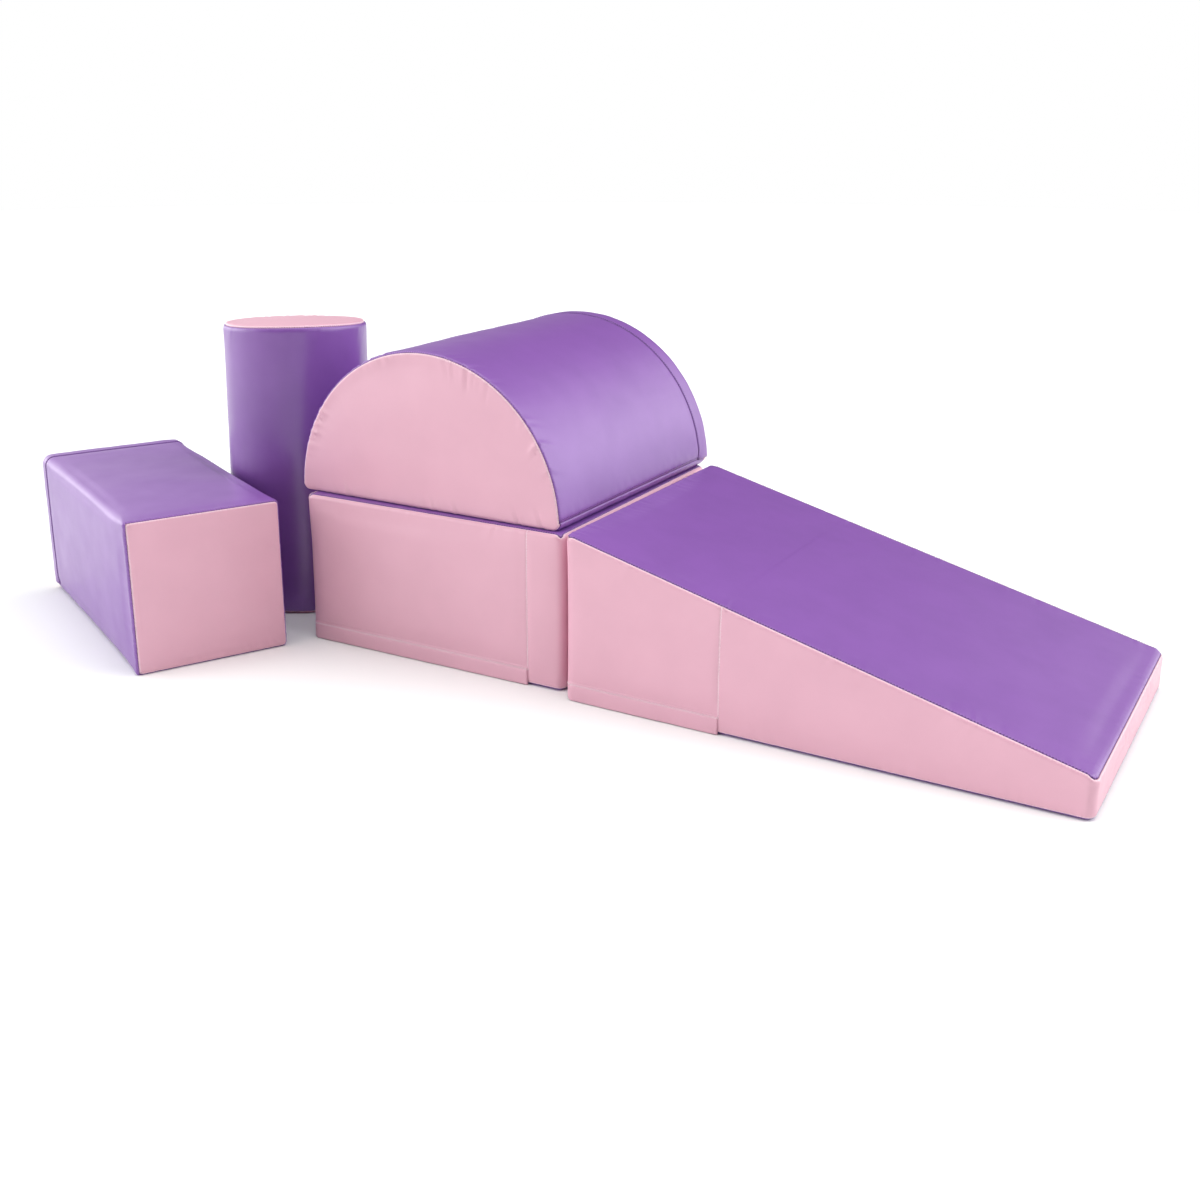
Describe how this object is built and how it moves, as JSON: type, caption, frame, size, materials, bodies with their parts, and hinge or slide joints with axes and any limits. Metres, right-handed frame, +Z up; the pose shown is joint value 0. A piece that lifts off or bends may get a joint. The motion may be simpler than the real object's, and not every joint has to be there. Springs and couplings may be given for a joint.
{
  "type": "soft play foam climber",
  "caption": "Foam climbing blocks in zipped and strapped soft covers: a square base block under a half-round, a ramp, a long box and an upright cylinder.",
  "frame": {"origin": "middle of the base block's underside, on the floor", "axes": "+X runs along the row from the base block to the ramp's low end, +Y to the back, +Z up"},
  "size_m": [2.2432, 0.9617, 0.611],
  "materials": {
    "purple_cover": "satin",
    "pink_cover": "satin",
    "foam": "matte",
    "hook_tape": "matte",
    "loop_tape": "matte",
    "zip_tape": "matte",
    "zip_chain": "satin",
    "slider_metal": "satin"
  },
  "bodies": {
    "base_block": {"base_foam_core": "foam", "base_top_panel": "purple_cover", "base_bottom_panel": "purple_cover", "base_side_band": "pink_cover", "base_loop_strip": "loop_tape"},
    "base_flap": {"base_hem_flap": "pink_cover", "base_hook_strip": "hook_tape"},
    "ramp_block": {"ramp_foam_core": "foam", "ramp_top_panel": "purple_cover", "ramp_bottom_panel": "purple_cover", "ramp_side_band": "pink_cover", "ramp_loop_strip": "loop_tape"},
    "ramp_flap": {"ramp_hem_flap": "pink_cover", "ramp_hook_strip": "hook_tape"},
    "arch_block": {"arch_foam_core": "foam", "arch_wrap": "purple_cover", "arch_bottom_panel": "purple_cover", "arch_front_panel": "pink_cover", "arch_rear_panel": "pink_cover", "arch_fly": "purple_cover", "arch_zip_tape": "zip_tape", "arch_zip_chain": "zip_chain"},
    "arch_zip_pull": {"arch_zip_slider": "slider_metal"},
    "box_block": {"box_foam_core": "foam", "box_wrap": "purple_cover", "box_front_panel": "pink_cover", "box_rear_panel": "pink_cover", "box_fly": "purple_cover", "box_zip_tape": "zip_tape", "box_zip_chain": "zip_chain"},
    "box_zip_pull": {"box_zip_slider": "slider_metal"},
    "cylinder_block": {"cylinder_foam_core": "foam", "cylinder_wrap": "purple_cover", "cylinder_top_panel": "pink_cover", "cylinder_bottom_panel": "pink_cover", "cylinder_zip_tape": "zip_tape", "cylinder_zip_chain": "zip_chain"},
    "cylinder_zip_pull": {"cylinder_zip_slider": "slider_metal"}
  },
  "joints": [
    {"name": "base_flap_hinge", "type": "hinge", "parent": "base_block", "child": "base_flap", "pos_m": [-0.03, -0.3045, 0.037], "axis": [-1, 0, 0], "range_deg": [0, 120]},
    {"name": "ramp_slide", "type": "slide", "parent": "base_block", "child": "ramp_block", "axis": [0.9999, -0.014, 0], "range_m": [0, 0.5]},
    {"name": "ramp_flap_hinge", "type": "hinge", "parent": "ramp_block", "child": "ramp_flap", "pos_m": [0.47196, -0.32875, 0.037], "axis": [-0.9999, 0.014, 0], "range_deg": [0, 120]},
    {"name": "arch_lift", "type": "slide", "parent": "base_block", "child": "arch_block", "axis": [0, 0, 1], "range_m": [0, 0.35]},
    {"name": "arch_zip", "type": "hinge", "parent": "arch_block", "child": "arch_zip_pull", "pos_m": [-0.01071, 0.32495, 0.3003], "axis": [-0.0175, -0.9998, 0], "range_deg": [0, 168]},
    {"name": "box_slide", "type": "slide", "parent": "base_block", "child": "box_block", "axis": [-0.8862, 0.4633, 0], "range_m": [0, 0.5]},
    {"name": "box_zip", "type": "slide", "parent": "box_block", "child": "box_zip_pull", "axis": [0, 0, 1], "range_m": [0, 0.245]},
    {"name": "cylinder_lift", "type": "slide", "parent": "base_block", "child": "cylinder_block", "axis": [0, 0, 1], "range_m": [0, 0.65]},
    {"name": "cylinder_zip", "type": "slide", "parent": "cylinder_block", "child": "cylinder_zip_pull", "axis": [0, 0, 1], "range_m": [0, 0.519]}
  ]
}
